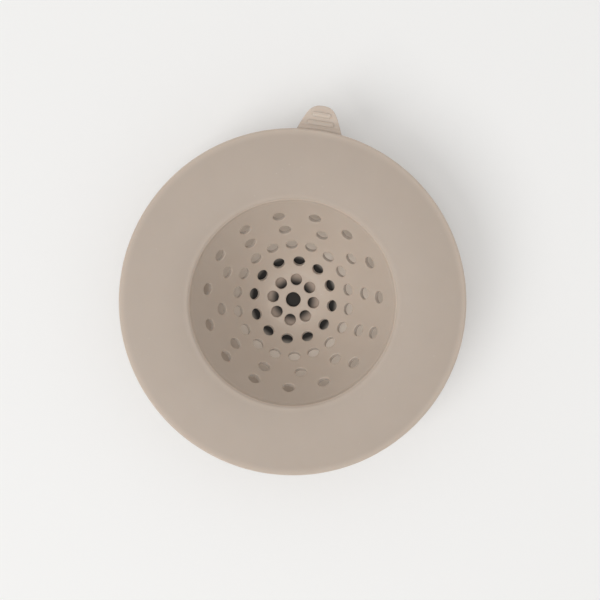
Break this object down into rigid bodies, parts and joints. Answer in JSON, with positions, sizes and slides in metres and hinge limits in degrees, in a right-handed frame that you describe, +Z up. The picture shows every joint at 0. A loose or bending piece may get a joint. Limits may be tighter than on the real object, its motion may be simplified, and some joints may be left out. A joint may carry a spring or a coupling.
{
  "type": "sink strainer",
  "caption": "Round soft strainer for a kitchen sink drain, with a domed flange, a deep perforated basket and a ribbed pull tab.",
  "frame": {"origin": "centre of the drain's rim, in the plane on which the flange's seat rests", "axes": "+Z up out of the drain along the basket's axis, +Y from the axis through the middle of the pull tab"},
  "size_m": [0.112, 0.1197, 0.0299],
  "materials": {
    "flange_silicone": "matte moulded silicone, taupe",
    "basket_silicone": "matte moulded silicone, taupe",
    "tab_silicone": "matte moulded silicone, taupe"
  },
  "bodies": {
    "strainer": {"flange": "flange_silicone", "basket": "basket_silicone"},
    "tab": {"pull_tab": "tab_silicone"}
  },
  "joints": [
    {"name": "tab_bend", "type": "hinge", "parent": "strainer", "child": "tab", "pos_m": [0, 0.05698, 0.0007], "axis": [1, 0, 0], "range_deg": [-30, 70], "stiffness_Nm_per_rad": 0.004}
  ]
}
